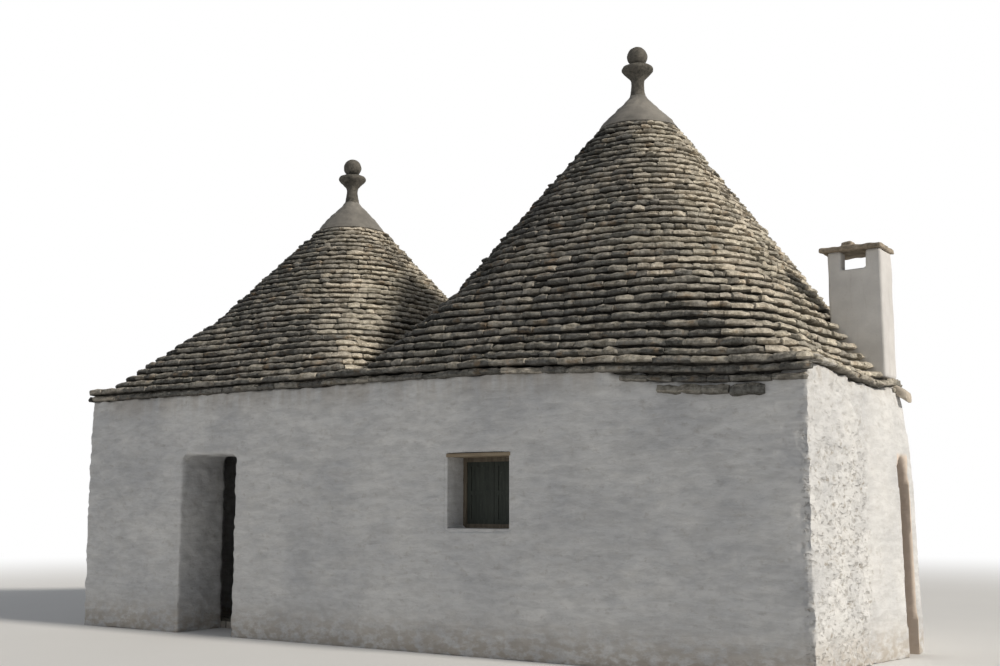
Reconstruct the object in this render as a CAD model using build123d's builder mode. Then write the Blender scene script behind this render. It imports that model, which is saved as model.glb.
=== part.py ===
"""A dry-stone trullo house: whitewashed rubble walls, two corbelled stone cones and a flush chimney."""
from build123d import *
import os
from math import asin, atan, cos, degrees, pi, radians, sin

os.makedirs("parts", exist_ok=True)

# Plan of the house, outer faces of the walls
house_length = 9500
house_depth = 5050
wall = 700
cross_wall = 600
valley_from_right = 5200
floor_thickness = 80
near_corner_radius = 90

# Heights and stone courses
wall_top = 2815
course = 87
courses_per_step = 2
eave_overhang = 80

# Great cone over the main room: half widths of its courses at the shoulder and at the top
main_axis_from_right = 2860
main_steps = 17
main_shoulder_east = 1955
main_shoulder_west = 2050
main_shoulder_half_y = 1950
main_shoulder_radii = (1450, 1450, 1650, 1450)
main_top_half = 475

# Smaller cone over the side room
side_axis_from_right = 7350
side_steps = 13
side_shoulder_half_x = 1600
side_shoulder_half_y = 1750
side_shoulder_radii = (1300, 1300, 1300, 1300)
side_top_half = 460

# Both cones: eave corners, slabs and the vaults inside
shoulder_steps = 5
outer_corner_radius = 300
valley_corner_radius = 150
top_roundness = 0.97
sides_per_corner = 5
round_sides = 24
slab_depth_eave = 420
slab_depth_top = 250
vault_bedding = 15
vault_thickness = 330
capstone_radius = 90

# Window in the front wall, placed from the near front corner
window_from_right = 3076
window_width = 764
window_sill_height = 1260
window_height = 730
window_setback = 280
lintel_height = 60
sill_height = 50
sill_projection = 12
window_frame_width = 45
window_frame_depth = 60
leaf_thickness = 28
leaf_gap = 4
leaf_stile = 48
panel_recess = 9

# Doorway under the smaller cone
door_width = 900
door_height = 2100
door_lintel_height = 160
door_lintel_bearing = 120

# Plastered bay that flares out of the right wall, with the narrow arched side doorway
bay_start = 1650
bay_end = 2850
bay_foot = 150
bay_middle = 95
bay_middle_height = 2050
bay_head = 10
side_door_from_front = 2320
side_door_width = 350
side_door_spring = 1820

# Arch between the two rooms
cross_arch_width = 1900
cross_arch_spring = 1450

# Chimney standing on the right wall
chimney_from_front = 2330
chimney_width = 555
chimney_depth = 380
chimney_proud = 20
chimney_wall = 100
chimney_shaft_top = 3960
chimney_post_width = 128
chimney_post_depth = 150
chimney_pillar_width = 150
chimney_gap_height = 200
chimney_cap_thickness = 62
chimney_cap_overhang = 70
chimney_stone_radius = 62
chimney_stone_height = 55
chimney_stone_sides = 10

# Courses that fill the low wall head at the near corner, lowest first, as runs from that corner
corner_runs = [(450, 1500), (0, 1560), (0, 1950)]
corner_course_projection = 60

# Spout stone at the far end of the right eave
spout_projection = 150
spout_width = 150

# Pinnacle
collar_height = 437
collar_sweep = 1.12
dish_sweep = 1.15
collar_lip = 22
collar_edge = 28
neck_radius = 97
neck_height = 200
dish_radius = 188
dish_flare = 127
dish_rim = 62
dish_rim_draw = 24
ball_radius = 124
ball_seat_radius = 40
turning_stations = 8

# Places worked out from the sizes above
x_right = (house_length - spout_projection + eave_overhang) / 2
x_left = x_right - house_length
y_front = -house_depth / 2
y_back = house_depth / 2
room_front = y_front + wall
room_back = y_back - wall
main_x = x_right - main_axis_from_right
side_x = x_right - side_axis_from_right
valley_x = x_right - valley_from_right
cross_left = valley_x - cross_wall / 2
cross_right = valley_x + cross_wall / 2
rear_radius = house_depth / 2
rear_x = x_right - rear_radius
step = courses_per_step * course
head_top = wall_top + step
shoulder_z = head_top + shoulder_steps * step
main_roof_top = head_top + main_steps * step
side_roof_top = head_top + side_steps * step
right_wall_top = wall_top - step
window_right = x_right - window_from_right
window_left = window_right - window_width
window_x = (window_left + window_right) / 2
window_head = window_sill_height + window_height
window_z = (window_sill_height + window_head) / 2
door_left = side_x - door_width / 2
door_right = side_x + door_width / 2
bay_y0 = y_front + bay_start
bay_y1 = y_front + bay_end
side_door_y0 = y_front + side_door_from_front
side_door_y1 = side_door_y0 + side_door_width
chimney_x1 = x_right + chimney_proud
chimney_x0 = chimney_x1 - chimney_width
chimney_x = (chimney_x0 + chimney_x1) / 2
chimney_y0 = y_front + chimney_from_front
chimney_y1 = chimney_y0 + chimney_depth
chimney_y = (chimney_y0 + chimney_y1) / 2
chimney_gap_top = chimney_shaft_top + chimney_gap_height
chimney_cap_top = chimney_gap_top + chimney_cap_thickness


def save(part, name):
    """Label a finished sub-part and write it to its own file."""
    part.label = name
    export_step(part, f"parts/{name}.step")


def block(x0, x1, y0, y1, z0, z1, mode=Mode.ADD):
    """Plain masonry block between two corners, in the current part."""
    with Locations(((x0 + x1) / 2, (y0 + y1) / 2, z0)):
        Box(x1 - x0, y1 - y0, z1 - z0, align=(Align.CENTER, Align.CENTER, Align.MIN), mode=mode)


# Floors of flat stone inside the walls
with BuildPart() as main_floor:
    inner_radius = rear_radius - wall
    turn_start = degrees(asin(bay_y1 / inner_radius))
    with BuildSketch():
        with BuildLine():
            rear_arc = CenterArc((rear_x, 0), inner_radius, turn_start, 90 - turn_start)
            Polyline(
                rear_arc @ 1,
                (cross_right, room_back),
                (cross_right, room_front),
                (x_right - wall, room_front),
                (x_right - wall, bay_y1),
                rear_arc @ 0,
            )
        make_face()
    extrude(amount=floor_thickness)
save(main_floor.part, "main_floor")

with BuildPart() as side_floor:
    block(x_left + wall, cross_left, room_front, room_back, 0, floor_thickness)
save(side_floor.part, "side_floor")

# Front wall, from the near corner to the far left; its head steps down towards the near corner
with BuildPart() as front_wall_corner:
    short_start, short_end = corner_runs[0]
    middle_end = corner_runs[1][1]
    corner_end = corner_runs[2][1]
    low, middle, high = (wall_top - count * course for count in (3, 2, 1))
    with BuildSketch(Plane.XZ.offset(-room_front)):
        with BuildLine():
            Polyline(
                (x_right, 0),
                (x_right, middle),
                (x_right - short_start, middle),
                (x_right - short_start, low),
                (x_right - short_end, low),
                (x_right - short_end, middle),
                (x_right - middle_end, middle),
                (x_right - middle_end, high),
                (x_right - corner_end, high),
                (x_right - corner_end, 0),
                close=True,
            )
        make_face()
    extrude(amount=wall)
save(front_wall_corner.part, "front_wall_corner")

with BuildPart() as front_wall_right_of_window:
    block(window_right, x_right - corner_end, y_front, room_front, 0, wall_top)
save(front_wall_right_of_window.part, "front_wall_right_of_window")

with BuildPart() as front_wall_below_window:
    block(window_left, window_right, y_front, room_front, 0, window_sill_height - sill_height)
save(front_wall_below_window.part, "front_wall_below_window")

with BuildPart() as front_wall_over_window:
    block(window_left, window_right, y_front, room_front, window_head + lintel_height, wall_top)
save(front_wall_over_window.part, "front_wall_over_window")

lintel_x0 = door_left - door_lintel_bearing
lintel_x1 = door_right + door_lintel_bearing
door_lintel_top = door_height + door_lintel_height
with BuildPart() as front_wall_middle:
    block(door_right, window_left, y_front, room_front, 0, wall_top)
    block(door_right, lintel_x1, y_front, room_front, door_height, door_lintel_top, Mode.SUBTRACT)
save(front_wall_middle.part, "front_wall_middle")

with BuildPart() as front_wall_over_door:
    block(door_left, door_right, y_front, room_front, door_lintel_top, wall_top)
save(front_wall_over_door.part, "front_wall_over_door")

with BuildPart() as front_wall_left:
    block(x_left, door_left, y_front, room_front, 0, wall_top)
    block(lintel_x0, door_left, y_front, room_front, door_height, door_lintel_top, Mode.SUBTRACT)
save(front_wall_left.part, "front_wall_left")

with BuildPart() as door_lintel:
    block(lintel_x0, lintel_x1, y_front, room_front, door_height, door_lintel_top)
save(door_lintel.part, "door_lintel")

# Right wall and its battered bay with the arched doorway
with BuildPart() as right_wall:
    block(x_right - wall, x_right, room_front, bay_y0, 0, right_wall_top)
save(right_wall.part, "right_wall")


bay_stations = ((0, bay_foot), (bay_middle_height, bay_middle), (right_wall_top, bay_head))


def bay_profile():
    """Section of the bay, leaning in towards the top, in the current sketch."""
    Polygon(
        (x_right - wall, 0),
        *((x_right + projection, z) for z, projection in bay_stations),
        (x_right - wall, right_wall_top),
        align=None,
    )


with BuildPart() as side_doorway_piers:
    plans = []
    for z, projection in bay_stations:
        with BuildSketch(Plane.XY.offset(z), mode=Mode.PRIVATE) as plan:
            Polygon(
                (x_right - wall, bay_y0),
                (x_right, bay_y0),
                (x_right + projection, side_door_y0),
                (x_right - wall, side_door_y0),
                align=None,
            )
        plans.append(plan.sketch)
    loft(plans, ruled=True)
    with BuildSketch(Plane.XZ.offset(-bay_y1)):
        bay_profile()
    extrude(amount=bay_y1 - side_door_y1)
save(side_doorway_piers.part, "side_doorway_piers")

with BuildPart() as side_doorway_arch:
    with BuildSketch(Plane.XZ.offset(-side_door_y1)):
        bay_profile()
    extrude(amount=side_door_width)
    door_y = (side_door_y0 + side_door_y1) / 2
    with BuildSketch(Plane.YZ.offset(x_right - 2 * wall)):
        with Locations((door_y, side_door_spring / 2)):
            Rectangle(side_door_width, side_door_spring)
        with Locations((door_y, side_door_spring)):
            Circle(side_door_width / 2)
    extrude(amount=3 * wall, mode=Mode.SUBTRACT)
save(side_doorway_arch.part, "side_doorway_arch")

# Rounded rear corner, a curved wall that starts behind the bay
with BuildPart() as rear_corner:
    with BuildSketch():
        with Locations((rear_x, 0)):
            Circle(rear_radius)
            Circle(rear_radius - wall, mode=Mode.SUBTRACT)
        with Locations((rear_x, bay_y1)):
            Rectangle(rear_radius, rear_radius, align=Align.MIN, mode=Mode.INTERSECT)
    extrude(amount=wall_top)
save(rear_corner.part, "rear_corner")

# Back and left walls
with BuildPart() as back_wall:
    block(x_left, rear_x, room_back, y_back, 0, wall_top)
save(back_wall.part, "back_wall")

with BuildPart() as left_wall:
    block(x_left, x_left + wall, room_front, room_back, 0, wall_top)
save(left_wall.part, "left_wall")

# Cross wall that carries both cones, with a round arch between the rooms
with BuildPart() as cross_wall_piers:
    block(cross_left, cross_right, room_front, -cross_arch_width / 2, 0, wall_top)
    block(cross_left, cross_right, cross_arch_width / 2, room_back, 0, wall_top)
save(cross_wall_piers.part, "cross_wall_piers")

with BuildPart() as cross_arch:
    with BuildSketch(Plane.YZ.offset(cross_left)):
        with Locations((0, (cross_arch_spring + wall_top) / 2)):
            Rectangle(cross_arch_width, wall_top - cross_arch_spring)
        with Locations((0, cross_arch_spring)):
            Circle(cross_arch_width / 2, mode=Mode.SUBTRACT)
    extrude(amount=cross_wall)
save(cross_arch.part, "cross_arch")


def between(start, end, share):
    """Value a share of the way from start to end, item by item for tuples."""
    if isinstance(start, tuple):
        return tuple(between(a, b, share) for a, b in zip(start, end))
    return start + share * (end - start)


def course_shape(eave, shoulder, top, roof_top, z):
    """East, west and north-south half widths, corner radii and slab depth of the course at height z."""
    if z < shoulder_z:
        return between(eave, shoulder, (z - wall_top) / (shoulder_z - wall_top))
    return between(shoulder, top, (z - shoulder_z) / (roof_top - shoulder_z))


def slab_depth_at(z, roof_top):
    """Depth of the slab course at height z."""
    return between(slab_depth_eave, slab_depth_top, (z - wall_top) / (roof_top - wall_top))


def eave_shape(east, west, radii):
    """Shape of a cone's lowest course, on the line of the eaves."""
    return (east, west, house_depth / 2 + eave_overhang, radii)


def round_top(half):
    """Shape of a cone's highest course, all but a circle."""
    return (half, half, half, (top_roundness * half,) * 4)


# Corner radii run west-front, east-front, east-back, west-back
main_shapes = (
    eave_shape(
        main_axis_from_right + eave_overhang,
        valley_from_right - main_axis_from_right,
        (valley_corner_radius, outer_corner_radius, rear_radius, valley_corner_radius),
    ),
    (main_shoulder_east, main_shoulder_west, main_shoulder_half_y, main_shoulder_radii),
    round_top(main_top_half),
)
side_shapes = (
    eave_shape(
        side_axis_from_right - valley_from_right,
        house_length - side_axis_from_right + eave_overhang,
        (outer_corner_radius, valley_corner_radius, valley_corner_radius, outer_corner_radius),
    ),
    (side_shoulder_half_x, side_shoulder_half_x, side_shoulder_half_y, side_shoulder_radii),
    round_top(side_top_half),
)


def course_polygon(axis_x, shape):
    """Plan of a slab course with straight stones, in the current sketch."""
    east, west, half_y, radii = shape
    corners = ((-west, -half_y), (east, -half_y), (east, half_y), (-west, half_y))
    points = []
    for quarter, ((corner_x, corner_y), radius) in enumerate(zip(corners, radii)):
        sign_x = 1 if corner_x > 0 else -1
        sign_y = 1 if corner_y > 0 else -1
        centre_x = corner_x - sign_x * radius
        centre_y = corner_y - sign_y * radius
        for stone in range(sides_per_corner + 1):
            turn = radians(180 + 90 * (quarter + stone / sides_per_corner))
            points.append(
                (
                    axis_x + centre_x + radius * cos(turn),
                    centre_y + radius * sin(turn),
                )
            )
    Polygon(*points, align=None)


# Head of the walls: the first step of courses all round, closed over the room corners
def bed_radius(shapes, roof_top, z):
    """Radius up to which the slabs and their rubble fill reach in at height z."""
    east, west, half_y, radii = course_shape(*shapes, roof_top, z)
    return min(east, west, half_y) - slab_depth_at(z, roof_top)


def vault_faces(shapes, roof_top):
    """Radius and height stations of a room's vault: its outer face, then its inner face."""
    heights = (head_top, shoulder_z, roof_top)
    head, neck, tip = (bed_radius(shapes, roof_top, z) - vault_bedding for z in heights)
    crown_share = (neck - vault_thickness - capstone_radius) / (neck - tip)
    outer_face = [(head, head_top), (neck, shoulder_z), (tip, roof_top)]
    inner_face = [
        (head - vault_thickness, head_top),
        (neck - vault_thickness, shoulder_z),
        (capstone_radius, between(shoulder_z, roof_top, crown_share)),
    ]
    return outer_face, inner_face


main_vault = vault_faces(main_shapes, main_roof_top)
side_vault = vault_faces(side_shapes, side_roof_top)

with BuildPart() as wall_head_courses:
    with BuildSketch(Plane.XY.offset(wall_top)):
        with BuildLine():
            rear_turn = CenterArc((rear_x, 0), rear_radius + eave_overhang, 0, 90)
            Polyline(
                rear_turn @ 1,
                (x_left - eave_overhang, y_back + eave_overhang),
                (x_left - eave_overhang, y_front - eave_overhang),
                (x_right + eave_overhang, y_front - eave_overhang),
                rear_turn @ 0,
            )
        make_face()
        for axis_x, (outer_face, inner_face) in ((main_x, main_vault), (side_x, side_vault)):
            room_radius = inner_face[0][0]
            with Locations((axis_x, 0)):
                RegularPolygon(room_radius, round_sides, mode=Mode.SUBTRACT)
    extrude(amount=step)
    front_edges = wall_head_courses.edges().filter_by(Axis.Z).group_by(Axis.Y)[0]
    fillet(front_edges, radius=near_corner_radius)
    block(chimney_x0, chimney_x1 + wall, chimney_y0, chimney_y1, wall_top, head_top, Mode.SUBTRACT)
save(wall_head_courses.part, "wall_head_courses")

# Extra courses that square out the low near corner, the lowest of them short
with BuildPart() as corner_courses:
    for level, (run_start, run_end) in enumerate(corner_runs):
        base = wall_top - (len(corner_runs) - level) * course
        end_x = x_right - run_start if run_start else x_right + corner_course_projection
        block(x_right - run_end, end_x, y_front - corner_course_projection, room_front, base, base + course)
save(corner_courses.part, "corner_courses")

# Low eave course on the right wall, ending in the spout stone
spout_y0 = bay_y1 - spout_width
with BuildPart() as right_eave_course:
    face_x = x_right + corner_course_projection
    block(x_right - wall, face_x, room_front, spout_y0, right_wall_top, wall_top)
save(right_eave_course.part, "right_eave_course")

with BuildPart() as eave_spout:
    block(x_right - wall, x_right + spout_projection, spout_y0, bay_y1, right_wall_top, wall_top)
save(eave_spout.part, "eave_spout")

def turned_stone(axis_x, stations, mode=Mode.ADD):
    """Stone worked round an axis in flat facets through radius and height stations, in the current part."""
    for lower, upper in zip(stations, stations[1:]):
        (narrow, narrow_z), (wide, wide_z) = sorted((lower, upper))
        rise = narrow_z - wide_z
        lean = degrees(atan((wide - narrow) * cos(pi / round_sides) / abs(rise)))
        bed = Plane((axis_x, 0, wide_z), x_dir=(1, 0, 0), z_dir=(0, 0, rise / abs(rise)))
        with BuildSketch(bed, mode=Mode.PRIVATE) as ring:
            RegularPolygon(wide, round_sides)
        extrude(ring.sketch, amount=abs(rise), taper=lean, mode=mode)


# Corbelled vaults that carry the slabs
for name, axis_x, (outer_face, inner_face), stations in (
    ("main_dome_lower", main_x, main_vault, slice(0, 2)),
    ("main_dome_upper", main_x, main_vault, slice(1, 3)),
    ("side_dome_lower", side_x, side_vault, slice(0, 2)),
    ("side_dome_upper", side_x, side_vault, slice(1, 3)),
):
    with BuildPart() as dome:
        turned_stone(axis_x, outer_face[stations])
        turned_stone(axis_x, inner_face[stations], Mode.SUBTRACT)
    save(dome.part, name)

# Stepped slab courses of both cones with their rubble fill, in bands
roof_bands = (
    ("main_roof_eave", main_x, main_shapes, main_roof_top, 0, shoulder_steps),
    ("main_roof_middle", main_x, main_shapes, main_roof_top, shoulder_steps, 2 * shoulder_steps),
    ("main_roof_upper", main_x, main_shapes, main_roof_top, 2 * shoulder_steps, main_steps),
    ("side_roof_eave", side_x, side_shapes, side_roof_top, 0, shoulder_steps),
    ("side_roof_upper", side_x, side_shapes, side_roof_top, shoulder_steps, side_steps),
)
for name, axis_x, shapes, roof_top, first, last in roof_bands:
    with BuildPart() as band:
        for index in range(first, last):
            z = head_top + index * step
            with BuildSketch(Plane.XY.offset(z)):
                course_polygon(axis_x, course_shape(*shapes, roof_top, z))
            extrude(amount=step)
        heights = (head_top + first * step, head_top + last * step)
        bed = [(bed_radius(shapes, roof_top, z), z) for z in heights]
        turned_stone(axis_x, bed, Mode.SUBTRACT)
        if name == "main_roof_eave":
            block(chimney_x0, chimney_x1 + wall, chimney_y0, chimney_y1, head_top, shoulder_z, Mode.SUBTRACT)
    save(band.part, name)


# Pinnacles: plaster collar, dish on its neck, ball
for prefix, axis_x, top_half, base_z in (
    ("main", main_x, main_top_half, main_roof_top),
    ("side", side_x, side_top_half, side_roof_top),
):
    shares = [index / turning_stations for index in range(turning_stations + 1)]
    foot = top_half + collar_lip
    neck_z = base_z + collar_height
    with BuildPart() as collar:
        slope = [
            (
                neck_radius + (foot - neck_radius) * (1 - share) ** collar_sweep,
                base_z + collar_edge + share * (collar_height - collar_edge),
            )
            for share in shares
        ]
        turned_stone(axis_x, [(foot, base_z), *slope])
    save(collar.part, f"{prefix}_collar")

    rim_z = neck_z + neck_height + dish_flare
    with BuildPart() as dish:
        flare = [
            (
                neck_radius + (dish_radius - neck_radius) * share**dish_sweep,
                rim_z - dish_flare * (1 - share),
            )
            for share in shares
        ]
        rim_top = (dish_radius - dish_rim_draw, rim_z + dish_rim)
        turned_stone(axis_x, [(neck_radius, neck_z), *flare, rim_top])
    save(dish.part, f"{prefix}_dish")

    seat_z = rim_z + dish_rim
    with BuildPart() as ball:
        low_turn = -asin((1 - (ball_seat_radius / ball_radius) ** 2) ** 0.5)
        high_turn = pi / 2 * top_roundness
        centre_z = seat_z - ball_radius * sin(low_turn)
        turns = [between(low_turn, high_turn, share) for share in shares]
        turned_stone(
            axis_x, [(ball_radius * cos(turn), centre_z + ball_radius * sin(turn)) for turn in turns]
        )
    save(ball.part, f"{prefix}_ball")

# Chimney: hollow plastered shaft, a post and a pillar, and the slab cap with a worn stone on it
with BuildPart() as chimney_shaft:
    block(chimney_x0, chimney_x1, chimney_y0, chimney_y1, wall_top, chimney_shaft_top)
    flue_x = chimney_width / 2 - chimney_wall
    flue_y = chimney_depth / 2 - chimney_wall
    block(
        chimney_x - flue_x,
        chimney_x + flue_x,
        chimney_y - flue_y,
        chimney_y + flue_y,
        wall_top + course,
        chimney_shaft_top,
        Mode.SUBTRACT,
    )
save(chimney_shaft.part, "chimney_shaft")

with BuildPart() as chimney_pillars:
    post_x1 = chimney_x0 + chimney_post_width
    post_y1 = chimney_y0 + chimney_post_depth
    pillar_x0 = chimney_x1 - chimney_pillar_width
    block(chimney_x0, post_x1, chimney_y0, post_y1, chimney_shaft_top, chimney_gap_top)
    block(pillar_x0, chimney_x1, chimney_y0, chimney_y1, chimney_shaft_top, chimney_gap_top)
save(chimney_pillars.part, "chimney_pillars")

with BuildPart() as chimney_cap:
    block(
        chimney_x0 - chimney_cap_overhang,
        chimney_x1,
        chimney_y0 - chimney_cap_overhang,
        chimney_y1 + chimney_cap_overhang,
        chimney_gap_top,
        chimney_cap_top,
    )
    chamfer(chimney_cap.faces().sort_by(Axis.Z)[-1].edges(), length=chimney_cap_thickness / 3)
    with BuildSketch(Plane.XY.offset(chimney_cap_top)):
        with Locations((chimney_x, chimney_y)):
            RegularPolygon(chimney_stone_radius, chimney_stone_sides)
    extrude(amount=chimney_stone_height, taper=18)
save(chimney_cap.part, "chimney_cap")

# Window: timber lintel, stone sill, wooden frame and two panelled leaves
with BuildPart() as window_lintel:
    block(window_left, window_right, y_front, room_front, window_head, window_head + lintel_height)
save(window_lintel.part, "window_lintel")

with BuildPart() as window_sill:
    sill_z = window_sill_height - sill_height
    sill_face = y_front - sill_projection
    block(window_left, window_right, sill_face, room_front, sill_z, window_sill_height)
save(window_sill.part, "window_sill")

frame_y = y_front + window_setback
clear_width = window_width - 2 * window_frame_width
clear_height = window_height - 2 * window_frame_width
with BuildPart() as window_frame:
    with BuildSketch(Plane.XZ.offset(-frame_y - window_frame_depth)):
        with Locations((window_x, window_z)):
            Rectangle(window_width, window_height)
            Rectangle(clear_width, clear_height, mode=Mode.SUBTRACT)
    extrude(amount=window_frame_depth)
save(window_frame.part, "window_frame")

leaf_width = (clear_width - leaf_gap) / 2
panel_height = (clear_height - 3 * leaf_stile) / 2
leaf_front = frame_y + (window_frame_depth - leaf_thickness) / 2
for name, side in (("window_leaf_left", -1), ("window_leaf_right", 1)):
    with BuildPart() as leaf:
        leaf_x = window_x + side * (leaf_width + leaf_gap) / 2
        with BuildSketch(Plane.XZ.offset(-leaf_front - leaf_thickness)):
            with Locations((leaf_x, window_z)):
                Rectangle(leaf_width, clear_height)
        extrude(amount=leaf_thickness)
        with BuildSketch(Plane.XZ.offset(-leaf_front)):
            with Locations((leaf_x, window_z)):
                with GridLocations(0, panel_height + leaf_stile, 1, 2):
                    Rectangle(leaf_width - 2 * leaf_stile, panel_height)
        extrude(amount=-panel_recess, mode=Mode.SUBTRACT)
    save(leaf.part, name)
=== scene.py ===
"""Looks of a dry-stone trullo house: slab roofs, whitewashed rubble walls, plaster and old timber."""
import math
import random

import bmesh
import bpy
import numpy as np
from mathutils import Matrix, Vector, noise


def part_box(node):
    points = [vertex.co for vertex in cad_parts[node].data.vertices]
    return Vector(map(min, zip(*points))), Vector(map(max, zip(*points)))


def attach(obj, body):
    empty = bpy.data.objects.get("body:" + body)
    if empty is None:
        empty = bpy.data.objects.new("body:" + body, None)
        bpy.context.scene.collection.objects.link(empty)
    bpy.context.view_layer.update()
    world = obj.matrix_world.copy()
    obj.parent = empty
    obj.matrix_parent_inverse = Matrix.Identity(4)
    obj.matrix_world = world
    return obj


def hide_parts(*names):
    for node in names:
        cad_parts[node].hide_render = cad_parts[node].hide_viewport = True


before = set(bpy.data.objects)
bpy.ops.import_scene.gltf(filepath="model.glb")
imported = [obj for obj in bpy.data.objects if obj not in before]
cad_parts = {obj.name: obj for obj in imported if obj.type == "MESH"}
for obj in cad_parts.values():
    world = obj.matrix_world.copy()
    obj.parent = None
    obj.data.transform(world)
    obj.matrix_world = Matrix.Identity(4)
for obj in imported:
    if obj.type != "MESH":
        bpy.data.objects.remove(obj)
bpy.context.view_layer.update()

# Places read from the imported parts, in metres
X_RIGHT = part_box("right_wall")[1].x
X_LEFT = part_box("left_wall")[0].x
Y_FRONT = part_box("front_wall_left")[0].y
Y_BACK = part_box("back_wall")[1].y
WALL_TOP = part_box("back_wall")[1].z
HEAD_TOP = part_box("wall_head_courses")[1].z
HALF_DEPTH = Y_BACK
COURSE = (HEAD_TOP - WALL_TOP) / 2
REAR_X = X_RIGHT - HALF_DEPTH
MAIN_X = sum(c.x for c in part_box("main_ball")) / 2
SIDE_X = sum(c.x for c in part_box("side_ball")) / 2
SHOULDER_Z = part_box("main_roof_eave")[1].z
MAIN_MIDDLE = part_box("main_roof_middle")[1].z
MAIN_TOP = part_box("main_roof_upper")[1].z
SIDE_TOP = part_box("side_roof_upper")[1].z
DOOR_NEAR, DOOR_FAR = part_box("side_doorway_arch")
CHIMNEY_LO, CHIMNEY_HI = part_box("chimney_shaft")
SILL_LO, SILL_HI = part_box("window_sill")
LINTEL_LO, LINTEL_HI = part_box("window_lintel")
FRAME_LO, FRAME_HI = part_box("window_frame")

# Sizes that the boxes don't give, in metres
OVERHANG = 0.08            # eave beyond the walls
VALLEY_FROM_RIGHT = 5.2    # valley between the two cones
SIDE_HALF = 2.15           # from the small cone's axis to the valley
BAY_START = Y_FRONT + 1.65     # the plastered bay of the right wall starts here
FRONT_SKIN = Y_FRONT + 0.72    # the front wall's own piece ends here
FILL_FROM = 2.45           # height where the fillers under the courses start
HEAD_Z = 2.9               # height at which the settling of the wall head is asked


def smooth(a, b, v):
    """0 below a, 1 above b, eased between."""
    t = min(1.0, max(0.0, (v - a) / (b - a)))
    return t * t * (3 - 2 * t)


def ripple(x, y, z, seed=0.0):
    """Smooth noise between -1 and 1, shifted by the seed."""
    return noise.noise(Vector((x + seed * 17.3, y - seed * 9.1, z + seed * 5.7)))


# Materials


class Kit:
    """Short calls for the shader nodes of one material."""

    def __init__(self, name):
        self.mat = bpy.data.materials.new(name)
        self.mat.use_nodes = True
        self.tree = self.mat.node_tree
        self.tree.nodes.clear()
        self.out = self.add("ShaderNodeOutputMaterial")
        self.bsdf = self.add("ShaderNodeBsdfPrincipled")
        self.put(self.out.inputs[0], self.bsdf.outputs[0])
        self.bsdf.inputs["Specular IOR Level"].default_value = 0.25
        self.coords = self.add("ShaderNodeTexCoord").outputs["Object"]

    def add(self, kind, **settings):
        node = self.tree.nodes.new(kind)
        for key, value in settings.items():
            setattr(node, key, value)
        return node

    def put(self, socket, value):
        if isinstance(value, bpy.types.NodeSocket):
            self.tree.links.new(value, socket)
        else:
            socket.default_value = value

    def stretch(self, scale, shift=(0, 0, 0), vector=None):
        node = self.add("ShaderNodeMapping")
        self.put(node.inputs["Vector"], vector or self.coords)
        node.inputs["Scale"].default_value = scale
        node.inputs["Location"].default_value = shift
        return node.outputs[0]

    def noise(self, vector, scale, detail=4, rough=0.55, distortion=0.0):
        node = self.add("ShaderNodeTexNoise")
        self.put(node.inputs["Vector"], vector)
        node.inputs["Scale"].default_value = scale
        node.inputs["Detail"].default_value = detail
        node.inputs["Roughness"].default_value = rough
        node.inputs["Distortion"].default_value = distortion
        return node.outputs["Fac"]

    def cells(self, vector, feature="DISTANCE_TO_EDGE"):
        node = self.add("ShaderNodeTexVoronoi", feature=feature)
        self.put(node.inputs["Vector"], vector)
        node.inputs["Scale"].default_value = 1.0
        return node.outputs["Distance"]

    def ramp(self, value, stops):
        node = self.add("ShaderNodeValToRGB")
        self.put(node.inputs["Fac"], value)
        ramp = node.color_ramp
        while len(ramp.elements) < len(stops):
            ramp.elements.new(0.5)
        for element, (position, colour) in zip(ramp.elements, stops):
            element.position = position
            if isinstance(colour, (int, float)):
                colour = (colour, colour, colour)
            element.color = (*colour, 1)
        return node.outputs["Color"]

    def mix(self, factor, a, b, blend="MIX"):
        node = self.add("ShaderNodeMix", data_type="RGBA", blend_type=blend)
        self.put(node.inputs["Factor"], factor)
        for socket, value in ((node.inputs[6], a), (node.inputs[7], b)):
            if isinstance(value, tuple):
                value = (*value, 1)
            self.put(socket, value)
        return node.outputs[2]

    def math(self, kind, a, b=0.0):
        node = self.add("ShaderNodeMath", operation=kind)
        self.put(node.inputs[0], a)
        self.put(node.inputs[1], b)
        return node.outputs[0]

    def times(self, a, b):
        return self.math("MULTIPLY", a, b)

    def tint(self, colour, by):
        return self.mix(1.0, colour, by, "MULTIPLY")

    def span(self, value, a, b, c=0.0, d=1.0):
        """Eased from c to d while the value goes from a to b."""
        node = self.add("ShaderNodeMapRange", interpolation_type="SMOOTHSTEP")
        self.put(node.inputs["Value"], value)
        for key, number in (("From Min", a), ("From Max", b), ("To Min", c), ("To Max", d)):
            node.inputs[key].default_value = number
        return node.outputs["Result"]

    def axis(self, index):
        node = self.add("ShaderNodeSeparateXYZ")
        self.put(node.inputs[0], self.coords)
        return node.outputs[index]

    def value_of(self, name):
        """A number stored on the mesh's points."""
        return self.add("ShaderNodeAttribute", attribute_name=name).outputs["Fac"]

    def finish(self, colour, rough, bumps=()):
        """Sets colour and roughness, and chains bumps of (height, strength, distance)."""
        self.put(self.bsdf.inputs["Base Color"], colour)
        self.put(self.bsdf.inputs["Roughness"], rough)
        normal = None
        for height, strength, distance in bumps:
            node = self.add("ShaderNodeBump")
            node.inputs["Strength"].default_value = strength
            node.inputs["Distance"].default_value = distance
            self.put(node.inputs["Height"], height)
            if normal is not None:
                self.put(node.inputs["Normal"], normal)
            normal = node.outputs[0]
        if normal is not None:
            self.put(self.bsdf.inputs["Normal"], normal)
        return self.mat


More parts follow.
